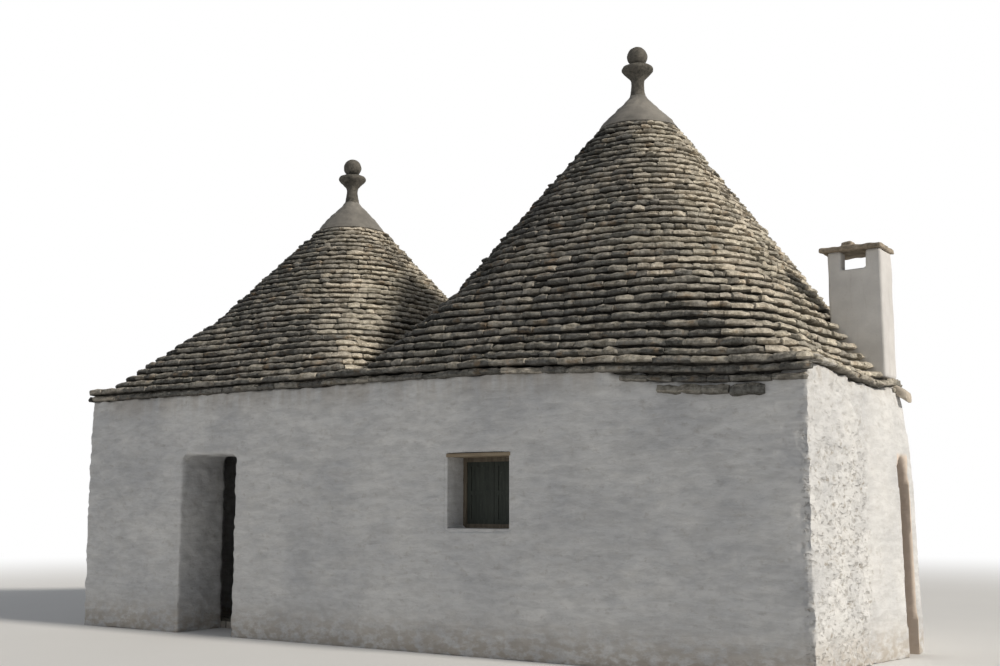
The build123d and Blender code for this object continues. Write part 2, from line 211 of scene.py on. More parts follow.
def whitewash_material():
    """Lime wash over rubble: brushed lumps, worn patches, rust-brown runs under the eave, a dirty foot,
    painted shade in the hollows and holes of the rough near wall, and painted warm light in the side doorway.
    """
    kit = Kit("whitewash")
    warped = kit.mix(0.10, kit.coords, kit.add("ShaderNodeTexNoise").outputs["Color"])
    stones = kit.cells(kit.stretch((4.2, 4.2, 8.0), vector=warped), "F1")
    grain = kit.noise(kit.coords, 42, 6, 0.65)
    lumps = kit.noise(kit.stretch((9, 9, 15)), 1.0, 5, 0.62)
    pits = kit.noise(kit.coords, 21, 5, 0.7)
    patches = kit.noise(kit.coords, 1.3, 5, 0.6)
    height = kit.axis(2)

    # 1 on the rough near half of the right wall, less higher up; it sets the rubble bumps and how heavy the
    # painted shade in the hollows and holes is, so that shade is heavier low on the wall
    rough = kit.times(kit.span(kit.axis(0), X_RIGHT - 0.10, X_RIGHT - 0.04),
                      kit.span(kit.axis(1), BAY_START + 0.06, BAY_START - 0.16))
    rough = kit.times(rough, kit.span(height, 2.5, 1.7, 0.35, 1.0))

    strokes = kit.noise(kit.stretch((4.5, 4.5, 17), (3, 1, 8)), 1.0, 6, 0.68, 0.4)
    colour = kit.ramp(patches, [(0.3, (0.575, 0.583, 0.60)), (0.62, (0.735, 0.735, 0.733))])
    colour = kit.mix(kit.span(strokes, 0.34, 0.66), kit.tint(colour, (0.84, 0.838, 0.835)), colour)
    # Painted shade in the hollows where the lumps and pits sink, heavier on the rough near part of the right
    # wall
    hollow_shade = kit.times(kit.span(lumps, 0.48, 0.32), kit.span(pits, 0.40, 0.60))
    hollow_shade = kit.times(hollow_shade, kit.math("ADD", kit.times(rough, 0.60), 0.28))
    colour = kit.mix(hollow_shade, colour, (0.30, 0.27, 0.23))
    flakes = kit.span(kit.noise(kit.coords, 30, 5, 0.75), 0.63, 0.69)
    colour = kit.mix(kit.times(flakes, 0.34), colour, (0.36, 0.34, 0.31))
    streak = kit.noise(kit.stretch((7, 7, 0.9)), 1.0, 4, 0.6)
    eave = kit.times(kit.span(height, WALL_TOP - 0.34, WALL_TOP - 0.05), kit.span(streak, 0.36, 0.62))
    colour = kit.mix(kit.times(eave, 0.30), colour, (0.34, 0.28, 0.21))
    foot = kit.times(kit.span(height, 0.50, 0.0), kit.span(lumps, 0.34, 0.60))
    colour = kit.mix(kit.times(foot, 0.62), colour, (0.33, 0.27, 0.20))

    # Warm tint inside the side doorway, made light enough to be painted light: it stands for the warm light
    # reflected into the shaded reveal
    doorway_painted_light = kit.times(kit.span(kit.axis(1), DOOR_NEAR.y - 0.014, DOOR_NEAR.y - 0.004),
                       kit.span(kit.axis(1), DOOR_FAR.y + 0.014, DOOR_FAR.y + 0.004))
    doorway_painted_light = kit.times(doorway_painted_light, kit.span(height, DOOR_FAR.z - 0.60, DOOR_FAR.z - 0.66))
    doorway_painted_light = kit.times(doorway_painted_light, kit.span(kit.axis(0), X_RIGHT - 0.65, X_RIGHT - 0.60))
    colour = kit.mix(kit.times(doorway_painted_light, 0.8), colour, (0.72, 0.60, 0.50))

    # Painted shade in the holes of the rubble on the near right wall, which the bump also dents
    hole = kit.span(kit.noise(kit.stretch((20, 12, 27), (5, 2, 7)), 1.0, 4, 0.6, 0.2), 0.53, 0.70)
    hole = kit.times(kit.times(hole, rough), kit.span(patches, 0.28, 0.50))
    colour = kit.mix(kit.times(hole, 0.34), colour, (0.30, 0.27, 0.235))
    rubble = kit.times(kit.noise(kit.stretch((9, 7, 15)), 1.0, 4, 0.55, 0.3), rough)
    rubble = kit.math("SUBTRACT", rubble, kit.times(hole, 0.45))
    return kit.finish(colour, 0.92, [
        (stones, 0.35, 0.03), (rubble, 0.85, 0.032), (strokes, 0.5, 0.010), (lumps, 0.65, 0.012),
        (pits, 0.30, 0.006), (grain, 0.30, 0.003),
    ])


def plaster_material(name, light, dark, stain):
    """Trowelled lime plaster with soft stains and rain runs, and painted shade that greys the chimney's
    sunlit right face.
    """
    kit = Kit(name)
    patches = kit.noise(kit.coords, 3.0, 5, 0.6)
    colour = kit.ramp(patches, [(0.32, dark), (0.66, light)])
    runs = kit.noise(kit.stretch((14, 14, 1.6)), 1.0, 5, 0.65)
    colour = kit.mix(kit.times(kit.span(runs, 0.54, 0.74), 0.26), colour, stain)
    specks = kit.span(kit.noise(kit.coords, 60, 3, 0.6), 0.66, 0.72)
    colour = kit.mix(kit.times(specks, 0.35), colour, stain)
    # Painted shade: the chimney's right face, lit by the key light, is greyed to tone it down
    painted_shade_right_face = kit.span(kit.axis(0), CHIMNEY_HI.x - 0.035, CHIMNEY_HI.x - 0.015)
    colour = kit.mix(painted_shade_right_face, colour, kit.tint(colour, (0.83, 0.83, 0.84)))
    grain = kit.noise(kit.coords, 45, 6, 0.65)
    lumps = kit.noise(kit.coords, 9, 4, 0.6)
    return kit.finish(colour, 0.9, [(lumps, 0.35, 0.010), (grain, 0.35, 0.003)])


def slab_material():
    """Dry-laid limestone slabs: each stone with its own tone, lichen, painted shade on its lower part over
    the gap beneath it, and top edges made lighter by wear and by a painted highlight.
    """
    kit = Kit("roof_slabs")
    tone = kit.value_of("tone")
    white = kit.value_of("white")
    edge = kit.value_of("edge")
    fine = kit.noise(kit.coords, 24, 6, 0.7)
    broad = kit.noise(kit.coords, 1.7, 4, 0.6)
    colour = kit.ramp(tone, [
        (0.0, (0.090, 0.090, 0.089)), (0.45, (0.275, 0.268, 0.252)), (1.0, (0.88, 0.80, 0.675)),
    ])
    colour = kit.mix(kit.span(fine, 0.34, 0.64), kit.tint(colour, (0.64, 0.63, 0.61)), colour)
    # Dark lichen on the darker stones; since the tone carries painted light, it also gathers on the slopes
    # turned from the key light
    lichen = kit.times(kit.span(kit.noise(kit.coords, 9, 6, 0.75), 0.55, 0.66), kit.span(tone, 0.95, 0.30))
    colour = kit.mix(kit.times(lichen, 0.60), colour, (0.075, 0.073, 0.062))
    pale = kit.span(kit.noise(kit.stretch((1, 1, 1), (7, 3, 1)), 13, 5, 0.7), 0.60, 0.68)
    colour = kit.mix(kit.times(pale, 0.55), colour, (0.46, 0.44, 0.39))
    ochre = kit.span(kit.noise(kit.stretch((1, 1, 1), (2, 9, 4)), 5, 4, 0.6), 0.56, 0.70)
    colour = kit.mix(kit.times(ochre, 0.42), colour, (0.44, 0.29, 0.16))
    colour = kit.mix(kit.span(broad, 0.36, 0.64), kit.tint(colour, (0.80, 0.82, 0.82)), colour)
    # Painted shade: each stone darkens towards its bottom, over the shaded gap beneath it; stones with edge 0
    # get the full painted shade
    colour = kit.mix(kit.span(edge, 0.02, 0.34, 0.72, 0.0), colour, (0.085, 0.080, 0.072))
    # Lighter top edge of each stone: partly worn stone, partly a painted highlight where the light catches
    # the ledges
    wear_and_top_highlight = kit.times(kit.span(edge, 0.55, 0.9), kit.span(fine, 0.40, 0.60))
    colour = kit.mix(kit.times(wear_and_top_highlight, 0.6), colour, (0.55, 0.50, 0.42))
    chips = kit.noise(kit.coords, 14, 4, 0.65)
    colour = kit.mix(kit.span(chips, 0.36, 0.58), kit.tint(colour, (0.58, 0.57, 0.55)), colour)
    lime = kit.times(white, kit.span(kit.noise(kit.coords, 12, 5, 0.7), 0.44, 0.56))
    colour = kit.mix(lime, colour, (0.60, 0.585, 0.56))
    grit = kit.noise(kit.coords, 70, 4, 0.7)
    return kit.finish(colour, 0.93, [(chips, 1.0, 0.028), (fine, 0.6, 0.008), (grit, 0.3, 0.003)])


def stone_material(name, light, dark, lichen_colour):
    """Carved or rough limestone with dark lichen."""
    kit = Kit(name)
    fine = kit.noise(kit.coords, 26, 6, 0.7)
    colour = kit.ramp(fine, [(0.32, dark), (0.68, light)])
    lichen = kit.span(kit.noise(kit.coords, 8, 6, 0.75), 0.46, 0.62)
    colour = kit.mix(kit.times(lichen, 0.65), colour, lichen_colour)
    return kit.finish(colour, 0.93, [(fine, 0.5, 0.006), (kit.noise(kit.coords, 80, 4, 0.7), 0.3, 0.002)])


def vault_material():
    """Corbelled rings of rough limestone."""
    kit = Kit("vault_stone")
    ring_height = 0.12
    rings = kit.math("FRACT", kit.times(kit.axis(2), 1 / ring_height))
    bed = kit.span(kit.math("ABSOLUTE", kit.math("SUBTRACT", rings, 0.5)), 0.34, 0.48, 1.0, 0.0)
    cells = kit.cells(kit.stretch((4, 4, 8.33)))
    fine = kit.noise(kit.coords, 22, 6, 0.7)
    colour = kit.ramp(fine, [(0.3, (0.34, 0.31, 0.27)), (0.7, (0.52, 0.49, 0.44))])
    colour = kit.mix(bed, (0.12, 0.11, 0.10), colour)
    stones = kit.span(cells, 0.0, 0.12)
    return kit.finish(colour, 0.95, [(bed, 0.6, 0.02), (stones, 0.5, 0.01), (fine, 0.4, 0.006)])


def floor_material():
    """Worn limestone flags."""
    kit = Kit("floor_stone")
    cells = kit.cells(kit.stretch((2.1, 2.1, 0.01)))
    joint = kit.span(cells, 0.0, 0.035)
    fine = kit.noise(kit.coords, 18, 6, 0.7)
    colour = kit.ramp(fine, [(0.3, (0.36, 0.33, 0.29)), (0.7, (0.52, 0.48, 0.43))])
    colour = kit.mix(joint, (0.13, 0.12, 0.10), colour)
    return kit.finish(colour, 0.8, [(joint, 0.5, 0.01), (fine, 0.3, 0.004)])


def wood_material(name, light, dark, along=(26, 26, 1.6)):
    """Old timber with grain along its length, paint worn thin."""
    kit = Kit(name)
    grain = kit.noise(kit.stretch(along), 1.6, 8, 0.7, 0.6)
    colour = kit.ramp(grain, [(0.30, dark), (0.70, light)])
    worn = kit.span(kit.noise(kit.coords, 17, 5, 0.7), 0.60, 0.72)
    colour = kit.mix(kit.times(worn, 0.30), colour, tuple(min(1, c * 2.2) for c in light))
    return kit.finish(colour, 0.72, [(grain, 0.45, 0.003), (kit.noise(kit.coords, 90, 3, 0.6), 0.2, 0.001)])


WHITEWASH = whitewash_material()
PLASTER = plaster_material("chimney_plaster", (0.80, 0.787, 0.77), (0.66, 0.648, 0.636), (0.38, 0.33, 0.29))
COLLAR = plaster_material("collar_plaster", (0.27, 0.255, 0.232), (0.135, 0.13, 0.121), (0.085, 0.08, 0.073))
SLABS = slab_material()
WEATHERED = stone_material("weathered_stone", (0.17, 0.157, 0.137), (0.08, 0.076, 0.067),
                           (0.034, 0.034, 0.029))
CAP = stone_material("cap_stone", (0.46, 0.39, 0.31), (0.27, 0.235, 0.19), (0.15, 0.13, 0.10))
# Rubble bed behind the head courses, coloured very dark as painted shade for the gaps between the stones
BED = stone_material("bed_rubble", (0.20, 0.185, 0.16), (0.11, 0.102, 0.09), (0.07, 0.064, 0.056))
PALE_STONE = stone_material("pale_stone", (0.62, 0.56, 0.48), (0.46, 0.41, 0.35), (0.30, 0.26, 0.21))
VAULT = vault_material()
FLAGS = floor_material()
FRAME_WOOD = wood_material("frame_wood", (0.20, 0.17, 0.13), (0.085, 0.07, 0.052))
LEAF_WOOD = wood_material("leaf_wood", (0.060, 0.068, 0.058), (0.026, 0.031, 0.027))
LINTEL_WOOD = wood_material("lintel_wood", (0.35, 0.29, 0.21), (0.19, 0.145, 0.095), (1.6, 26, 26))


# Building meshes


def place(name, verts, faces, material, nodes=(), sharp=50, floats=None):
    """Mesh object from lists, riding on the root body."""
    mesh = bpy.data.meshes.new(name)
    mesh.from_pydata([tuple(v) for v in verts], [], [tuple(f) for f in faces])
    for key, values in (floats or {}).items():
        layer = mesh.attributes.new(key, "FLOAT", "POINT")
        layer.data.foreach_set("value", np.array(values, np.float32))
    return adopt(name, mesh, material, nodes, sharp)


def adopt(name, mesh, material, nodes=(), sharp=50):
    """Makes the mesh a piece of the scene in place of the CAD nodes."""
    mesh.polygons.foreach_set("use_smooth", [True] * len(mesh.polygons))
    mesh.set_sharp_from_angle(angle=math.radians(sharp))
    mesh.materials.clear()
    mesh.materials.append(material)
    obj = bpy.data.objects.new(name, mesh)
    bpy.context.scene.collection.objects.link(obj)
    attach(obj, "root")
    if nodes:
        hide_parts(*nodes)
    return obj


def merged_copy(node_names, swell=0.0):
    """One bmesh with the CAD solids of these nodes, each swollen a little so that neighbours overlap."""
    whole = bmesh.new()
    for name in node_names:
        part = bmesh.new()
        part.from_mesh(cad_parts[name].data)
        bmesh.ops.remove_doubles(part, verts=part.verts, dist=1e-5)
        part.normal_update()
        if swell:
            for v in part.verts:
                v.co += v.normal * (swell * min(1.5, v.calc_shell_factor()))
        mesh = bpy.data.meshes.new("part_copy")
        part.to_mesh(mesh)
        part.free()
        whole.from_mesh(mesh)
        bpy.data.meshes.remove(mesh)
    return whole


def add_box(bm, lo, hi):
    """Adds a box between two corners."""
    made = bmesh.ops.create_cube(bm, size=1.0)
    for v in made["verts"]:
        v.co = Vector(((v.co[i] + 0.5) * (hi[i] - lo[i]) + lo[i]) for i in range(3))


def remeshed(bm, voxel):
    """Even quads over the union of what is in the bmesh."""
    mesh = bpy.data.meshes.new("rough")
    bm.to_mesh(mesh)
    bm.free()
    obj = bpy.data.objects.new("rough", mesh)
    bpy.context.scene.collection.objects.link(obj)
    mod = obj.modifiers.new("remesh", "REMESH")
    mod.mode = "VOXEL"
    mod.voxel_size = voxel
    mod.adaptivity = 0.0
    graph = bpy.context.evaluated_depsgraph_get()
    made = bpy.data.meshes.new_from_object(obj.evaluated_get(graph))
    bpy.data.objects.remove(obj)
    bpy.data.meshes.remove(mesh)
    return made


def displace(mesh, offset):
    """Moves every vertex along its normal by offset(position)."""
    bm = bmesh.new()
    bm.from_mesh(mesh)
    bm.normal_update()
    moves = [(v, v.normal * offset(v.co)) for v in bm.verts]
    for v, move in moves:
        v.co += move
    bm.to_mesh(mesh)
    bm.free()


# Masonry of the walls
WALLS = [
    "front_wall_corner", "front_wall_right_of_window", "front_wall_below_window", "front_wall_over_window",
    "front_wall_middle", "front_wall_over_door", "front_wall_left", "right_wall", "side_doorway_piers",
    "side_doorway_arch", "rear_corner", "back_wall", "left_wall", "cross_wall_piers", "cross_arch",
    "door_lintel", "window_lintel", "window_sill",
]
FRONT_WALLS = [n for n in WALLS if n.startswith("front_wall") or n.startswith("window") or n == "door_lintel"]
RIGHT_WALLS = ["right_wall", "side_doorway_piers", "side_doorway_arch", "rear_corner"]
REAR_WALLS = [n for n in WALLS if n not in FRONT_WALLS + RIGHT_WALLS]


def table(points):
    """Straight-line interpolation through (place, value) points."""
    def value(at):
        if at <= points[0][0]:
            return points[0][1]
        for (a, va), (b, vb) in zip(points, points[1:]):
            if at <= b:
                return va + (vb - va) * (at - a) / (b - a)
        return points[-1][1]
    return value


# Drop of the courses from the near corner: leftwards along the front, backwards along the right wall
FRONT_SAG = table([(0.0, 0.150), (0.72, 0.138), (1.26, 0.106), (2.0, 0.060), (3.4, 0.0)])
RIGHT_SAG = table([(0.0, 0.150), (0.34, 0.152), (0.72, 0.168), (1.0, 0.190), (1.46, 0.215), (2.04, 0.225),
                   (2.6, 0.165), (3.0, 0.150), (4.6, 0.0)])


def flare(x, y, z):
    """How far the courses run out over the wall head in front of the chimney."""
    t = y - Y_FRONT
    along = smooth(1.1, 2.0, t) * smooth(3.1, 2.7, t) * smooth(3.9, 3.35, z)
    return 0.085 * along * smooth(X_RIGHT - 0.9, X_RIGHT - 0.5, x) * smooth(X_RIGHT + 0.05, X_RIGHT - 0.08, x)


def sag(x, y, z):
    """How far the old courses have settled towards the near corner and along the right wall."""
    along_front, along_right = X_RIGHT - x, y - Y_FRONT
    front = FRONT_SAG(along_front) * smooth(2.0, 0.6, along_right)
    right = RIGHT_SAG(along_right) * smooth(1.4, 0.3, along_front)
    return max(front, right) * smooth(4.1, 2.95, z)


def wall_relief(p):
    """Stones that swell under the lime wash, less on the plastered bay and round the window."""
    right_face = smooth(X_RIGHT - 0.12, X_RIGHT - 0.03, p.x)
    rough = 0.85 + 1.15 * right_face * smooth(BAY_START + 0.12, BAY_START - 0.05, p.y + 0.08 * (p.z - 1.5))
    rough *= 1 - 0.70 * right_face * smooth(BAY_START - 0.05, BAY_START + 0.10, p.y) * smooth(0.9, 0.4, p.y)
    broad = ripple(p.x * 0.8, p.y * 0.8, p.z * 0.8, 1.0) * 0.014
    warp = Vector((ripple(p.x * 2, p.y * 2, p.z * 2, 2.0), ripple(p.x * 2, p.y * 2, p.z * 2, 3.0), 0)) * 0.30
    near = noise.voronoi(Vector((p.x * 3.8, p.y * 3.8, p.z * 7.0)) + warp)[0]
    stone = smooth(0.0, 0.34, near[1] - near[0])
    fine = ripple(p.x * 9, p.y * 9, p.z * 13, 4.0) * 0.009 + ripple(p.x * 4, p.y * 4, p.z * 7, 5.0) * 0.009
    away = 1.0
    if p.y < Y_FRONT + 0.75:
        away = max(SILL_LO.x - p.x, p.x - LINTEL_HI.x, SILL_LO.z - p.z, p.z - LINTEL_HI.z)
    return (broad + rough * (0.012 * (stone - 0.55) + fine)) * (0.22 + 0.78 * smooth(0.02, 0.16, away))


masonry = merged_copy([name for name in WALLS if name != "window_lintel"], 0.006)

# Fillers between the stepped wall heads of the parts and the settled courses: at the near corner, side by
# side along the front and right walls, and over the window
near_x, near_y = X_RIGHT + 0.004, Y_FRONT - 0.004
corner_top = WALL_TOP + COURSE - sag(X_RIGHT, Y_FRONT, HEAD_Z) - 0.035
for from_front, from_right in ((0.026, 0.024), (0.055, 0.004)):
    add_box(masonry, (X_RIGHT - 0.20, Y_FRONT + from_front, FILL_FROM),
            (X_RIGHT - from_right, Y_FRONT + 0.20, corner_top))
first, step, width = 0.09, 0.187, 0.197
for i in range(10):
    s = first + step * i
    low = sag(X_RIGHT - s - 0.1, Y_FRONT, HEAD_Z)
    left, right, back = X_RIGHT - s - width, X_RIGHT - s, Y_FRONT + 0.65
    add_box(masonry, (left, near_y, FILL_FROM), (right, back, WALL_TOP - COURSE - low + 0.01))
    add_box(masonry, (left, Y_FRONT + 0.09, FILL_FROM), (right, back, WALL_TOP - low - 0.02))
step, width = 0.2, 0.205
for i in range(14):
    y = Y_FRONT + (first + step * i)
    top = WALL_TOP + COURSE - max(sag(X_RIGHT, y, HEAD_Z), sag(X_RIGHT, y + step, HEAD_Z)) - 0.004
    add_box(masonry, (X_RIGHT - 0.69, y, FILL_FROM), (near_x, y + width, min(top, WALL_TOP - 0.01)))
add_box(masonry, (LINTEL_LO.x - 0.1, near_y, LINTEL_LO.z + 0.026),
        (LINTEL_HI.x + 0.1, LINTEL_HI.y, LINTEL_HI.z + 0.1))
wall_mesh = remeshed(masonry, 0.036)
displace(wall_mesh, wall_relief)

# Level foot, head kept under the courses behind the chimney, and room for the window's lining
middle_x, half_x = (SILL_LO.x + LINTEL_HI.x) / 2, (LINTEL_HI.x - SILL_LO.x) / 2
middle_z, half_z = (FRAME_LO.z + FRAME_HI.z) / 2, (FRAME_HI.z - FRAME_LO.z) / 2
lining_room, reach = 0.024, 0.03
for v in wall_mesh.vertices:
    v.co.z = max(v.co.z, 0.0)
    if v.co.x > X_RIGHT - 1.4 and v.co.y > Y_FRONT + 2.75:
        v.co.z = min(v.co.z, WALL_TOP - sag(v.co.x, v.co.y, HEAD_Z) - 0.01)
    away_x, away_z = abs(v.co.x - middle_x) - half_x, abs(v.co.z - middle_z) - half_z
    if v.co.y < Y_FRONT + 0.29 and max(away_x, away_z) < reach:
        if away_x > -reach:
            v.co.x += math.copysign(lining_room, v.co.x - middle_x)
        if away_z > -reach:
            v.co.z += math.copysign(lining_room, v.co.z - middle_z)


def split_off(mesh, wanted):
    """Copy of a mesh with only the faces whose centre is wanted."""
    bm = bmesh.new()
    bm.from_mesh(mesh)
    away = [f for f in bm.faces if not wanted(f.calc_center_median())]
    bmesh.ops.delete(bm, geom=away, context="FACES")
    part = bpy.data.meshes.new(mesh.name)
    bm.to_mesh(part)
    bm.free()
    return part


for name, nodes, wanted in (
    ("whitewashed_front_wall", FRONT_WALLS, lambda c: c.y < FRONT_SKIN),
    ("whitewashed_right_wall", RIGHT_WALLS, lambda c: c.y >= FRONT_SKIN and c.x > REAR_X),
    ("whitewashed_rear_walls", REAR_WALLS, lambda c: c.y >= FRONT_SKIN and c.x <= REAR_X),
):
    adopt(name, split_off(wall_mesh, wanted), WHITEWASH, nodes, 60)


def slim_box(name, lo, hi, material, bevel, nodes=()):
    """Board or plaster edge with worn arrises and a faintly uneven face."""
    bm = bmesh.new()
    add_box(bm, lo, hi)
    bmesh.ops.bevel(bm, geom=bm.edges[:], offset=bevel, segments=2, affect="EDGES", profile=0.6)
    long_edges = [e for e in bm.edges if e.calc_length() > 0.08]
    bmesh.ops.subdivide_edges(bm, edges=long_edges, cuts=10, use_grid_fill=True)
    mesh = bpy.data.meshes.new(name)
    bm.to_mesh(mesh)
    bm.free()
    displace(mesh, lambda p: 0.0022 * ripple(p.x * 7, p.y * 7, p.z * 7, 6.0))
    return adopt(name, mesh, material, nodes, 50)


# Plaster lining that gives the window its straight arrises, and the timber under its head
face_y, lining_back = Y_FRONT - 0.0040, Y_FRONT + 0.30
around, inward = 0.034, 0.003
foot_z = SILL_HI.z - around
for name, x0, x1, top in (
    ("window_reveal_left", SILL_LO.x - around, SILL_LO.x + inward, LINTEL_LO.z + 0.06),
    ("window_reveal_right", SILL_HI.x - inward, SILL_HI.x + around, LINTEL_LO.z + 0.06),
    ("window_reveal_sill", SILL_LO.x - around, SILL_HI.x + around, SILL_HI.z + inward),
):
    slim_box(name, (x0, face_y, foot_z), (x1, lining_back, top), WHITEWASH, 0.004)
slim_box("window_head_timber", (SILL_LO.x - 0.012, face_y - 0.004, LINTEL_LO.z),
         (SILL_HI.x + 0.012, lining_back, LINTEL_LO.z + 0.036),
         LINTEL_WOOD, 0.003, ["window_lintel"])


# Slab roofs


def blend(a, b, t):
    """From a to b, for numbers and for tuples of them."""
    if isinstance(a, tuple):
        return tuple(blend(i, j, t) for i, j in zip(a, b))
    return a + t * (b - a)


CORNER_STEPS = 14   # straight pieces in the arc of a rounded corner


def rounded_path(cx, east, west, south, north, radii):
    """Closed outline of a rounded rectangle about (cx, 0): dense points, outward normals, running length."""
    corners = ((-west, -south), (east, -south), (east, north), (-west, north))
    points = []
    for quarter, ((kx, ky), radius) in enumerate(zip(corners, radii)):
        mid_x, mid_y = cx + kx - math.copysign(radius, kx), ky - math.copysign(radius, ky)
        for i in range(CORNER_STEPS + 1):
            turn = math.radians(180 + 90 * (quarter + i / CORNER_STEPS))
            points.append((mid_x + radius * math.cos(turn), mid_y + radius * math.sin(turn)))
    dense = []
    for i, a in enumerate(points):
        b = points[(i + 1) % len(points)]
        gap = math.hypot(b[0] - a[0], b[1] - a[1])
        parts = max(1, int(gap / 0.12))
        for j in range(parts):
            dense.append((a[0] + (b[0] - a[0]) * j / parts, a[1] + (b[1] - a[1]) * j / parts))
    pts = np.array(dense)
    keep = np.hypot(*(pts - np.roll(pts, 1, 0)).T) > 1e-6
    pts = pts[keep]
    ahead = np.roll(pts, -1, 0) - np.roll(pts, 1, 0)
    normals = np.stack([ahead[:, 1], -ahead[:, 0]], 1)
    normals /= np.linalg.norm(normals, axis=1)[:, None]
    steps = np.hypot(*(np.roll(pts, -1, 0) - pts).T)
    run = np.concatenate([[0], np.cumsum(steps)])
    return np.vstack([pts, pts[:1]]), np.vstack([normals, normals[:1]]), run


def on_path(path, s):
    """Point and outward normal at a running length."""
    pts, normals, run = path
    s = s % run[-1]
    i = min(int(np.searchsorted(run, s, "right")) - 1, len(run) - 2)
    t = (s - run[i]) / (run[i + 1] - run[i])
    p = pts[i] * (1 - t) + pts[i + 1] * t
    n = normals[i] * (1 - t) + normals[i + 1] * t
    return p, n / np.linalg.norm(n)


# Cross-section of a slab: outward from its face in metres (-1 for the back edge), and share of its thickness
SECTION = (
    (-1.0, 0.14), (-0.060, 0.02), (-0.016, 0.12), (0.0, 0.34), (-0.004, 0.60), (-0.022, 0.84), (-0.055, 1.0),
    (-1.0, 0.97),
)


class Stones:
    """Collects slabs with their tone into one mesh."""

    def __init__(self, seed):
        self.verts, self.faces, self.tone, self.white, self.edge = [], [], [], [], []
        self.rng = random.Random(seed)

    def slab(self, path, s0, s1, z0, z1, depth, white=0.0, tone=None, swell=0.0, full=0.0, buried=False):
        """One stone between two places on the path, with painted light: paler and warmer on the slopes that
        face the key light.
        """
        rng = self.rng
        length = s1 - s0
        cuts = max(3, int(length / 0.052))
        out = rng.uniform(-0.014, 0.008) + swell
        if tone is None:
            facing = on_path(path, s0 + length / 2)[1]
            # Painted light: stones on slopes facing the key light get a paler, warmer tone, and those turned
            # away get a darker one
            painted_sunlit_side = 0.60 * (0.97 * facing[0] - 0.22 * facing[1]) - 0.05
            tone = min(1.0, max(0.0, 0.75 * rng.betavariate(2.8, 3.0) + painted_sunlit_side))
        tip = rng.uniform(-0.006, 0.006)
        lean = rng.uniform(-0.020, 0.020)
        thick = (z1 - z0) * max(full, rng.uniform(0.75, 0.90))
        own = rng.uniform(0.5, 30.0)
        start = len(self.verts)
        for i in range(cuts + 1):
            t = i / cuts
            p, n = on_path(path, s0 + t * length)
            end = min(t, 1 - t) * length
            draw = 0.013 * max(0.0, 1 - end / 0.035) ** 2
            swerve = 0.020 * ripple(p[0] * 6, p[1] * 6, z0 * 9, own) + flare(p[0], p[1], z0)
            drop = sag(p[0], p[1], z0) + 0.014 * ripple(p[0] * 0.9, p[1] * 0.9, z0 * 1.3, 6.0)
            for j, (u, v) in enumerate(SECTION):
                back = u <= -0.9
                reach = -depth if back else out + u - draw + swerve + lean * (t - 0.5)
                reach += 0 if back else 0.034 * ripple(p[0] * 10, p[1] * 10, j * 0.7 + z0 * 31, own)
                high = v * thick + tip * (t - 0.5) * 2
                if not back and 0.05 < v < 0.95:
                    high += 0.008 * ripple(p[0] * 13, p[1] * 13, j * 5.3, own)
                if v > 0.95:
                    high -= 0.008 * max(0.0, 1 - end / 0.05) - 0.018 * ripple(p[0] * 11, p[1] * 11, 2.2, own)
                if v < 0.05:
                    high += 0.008 * max(0.0, 1 - end / 0.05) + 0.014 * ripple(p[0] * 11, p[1] * 11, 7.7, own)
                self.verts.append((p[0] + n[0] * reach, p[1] + n[1] * reach, z0 + high - drop))
                self.tone.append(tone)
                self.white.append(white)
                # Height within the stone for the painted shade and highlight; buried stones get 0, so the
                # painted shade covers them whole
                self.edge.append(0.0 if buried else v)
        m = len(SECTION)
        for i in range(cuts):
            a, b = start + i * m, start + (i + 1) * m
            for j in range(m):
                after = (j + 1) % m
                self.faces.append((a + j, b + j, b + after, a + after))
        self.faces.append(tuple(start + j for j in range(m)))
        self.faces.append(tuple(start + cuts * m + j for j in reversed(range(m))))

    def ring(self, path, z0, z1, depth, shortest, longest, skip=None, white=None, draw_in=None, start=None):
        """A whole course of stones, apart from the places to skip."""
        rng = self.rng
        total = path[2][-1]
        s = rng.uniform(0, 0.4) if start is None else start
        end = s + total
        while s < end - 0.05:
            length = rng.uniform(shortest, longest)
            if end - s - length < shortest * 0.7:
                length = end - s
            gap = rng.uniform(0.001, 0.006)
            p, n = on_path(path, s + length / 2)
            if not (skip and skip(p[0], p[1], z0)):
                lime = white(p[0], p[1]) if white else 0.0
                reach = depth(p[0], p[1]) if callable(depth) else depth
                swell = -draw_in(p[0], p[1]) if draw_in else 0.0
                self.slab(path, s + gap / 2, s + length - gap / 2, z0, z1, reach, lime, swell=swell)
            s += length

    def core(self, rings):
        """Rubble behind the slabs in the darkest tone, with the full painted gap shade, a closed skin through
        rings of (path, height, inset).
        """
        count = 96
        start = len(self.verts)
        for path, z, inset in rings:
            total = path[2][-1]
            for i in range(count):
                p, n = on_path(path, total * i / count)
                self.verts.append((p[0] - n[0] * inset, p[1] - n[1] * inset, z - sag(p[0], p[1], z)))
                self.tone.append(0.0)
                self.white.append(0.0)
                self.edge.append(0.0)
        for r in range(len(rings) - 1):
            a, b = start + r * count, start + (r + 1) * count
            for i in range(count):
                after = (i + 1) % count
                self.faces.append((a + i, a + after, b + after, b + i))
        self.faces.append(tuple(start + i for i in reversed(range(count))))
        last = start + (len(rings) - 1) * count
        self.faces.append(tuple(last + i for i in range(count)))

    def place(self, name, nodes):
        return place(name, self.verts, self.faces, SLABS, nodes, 42,
                     {"tone": self.tone, "white": self.white, "edge": self.edge})


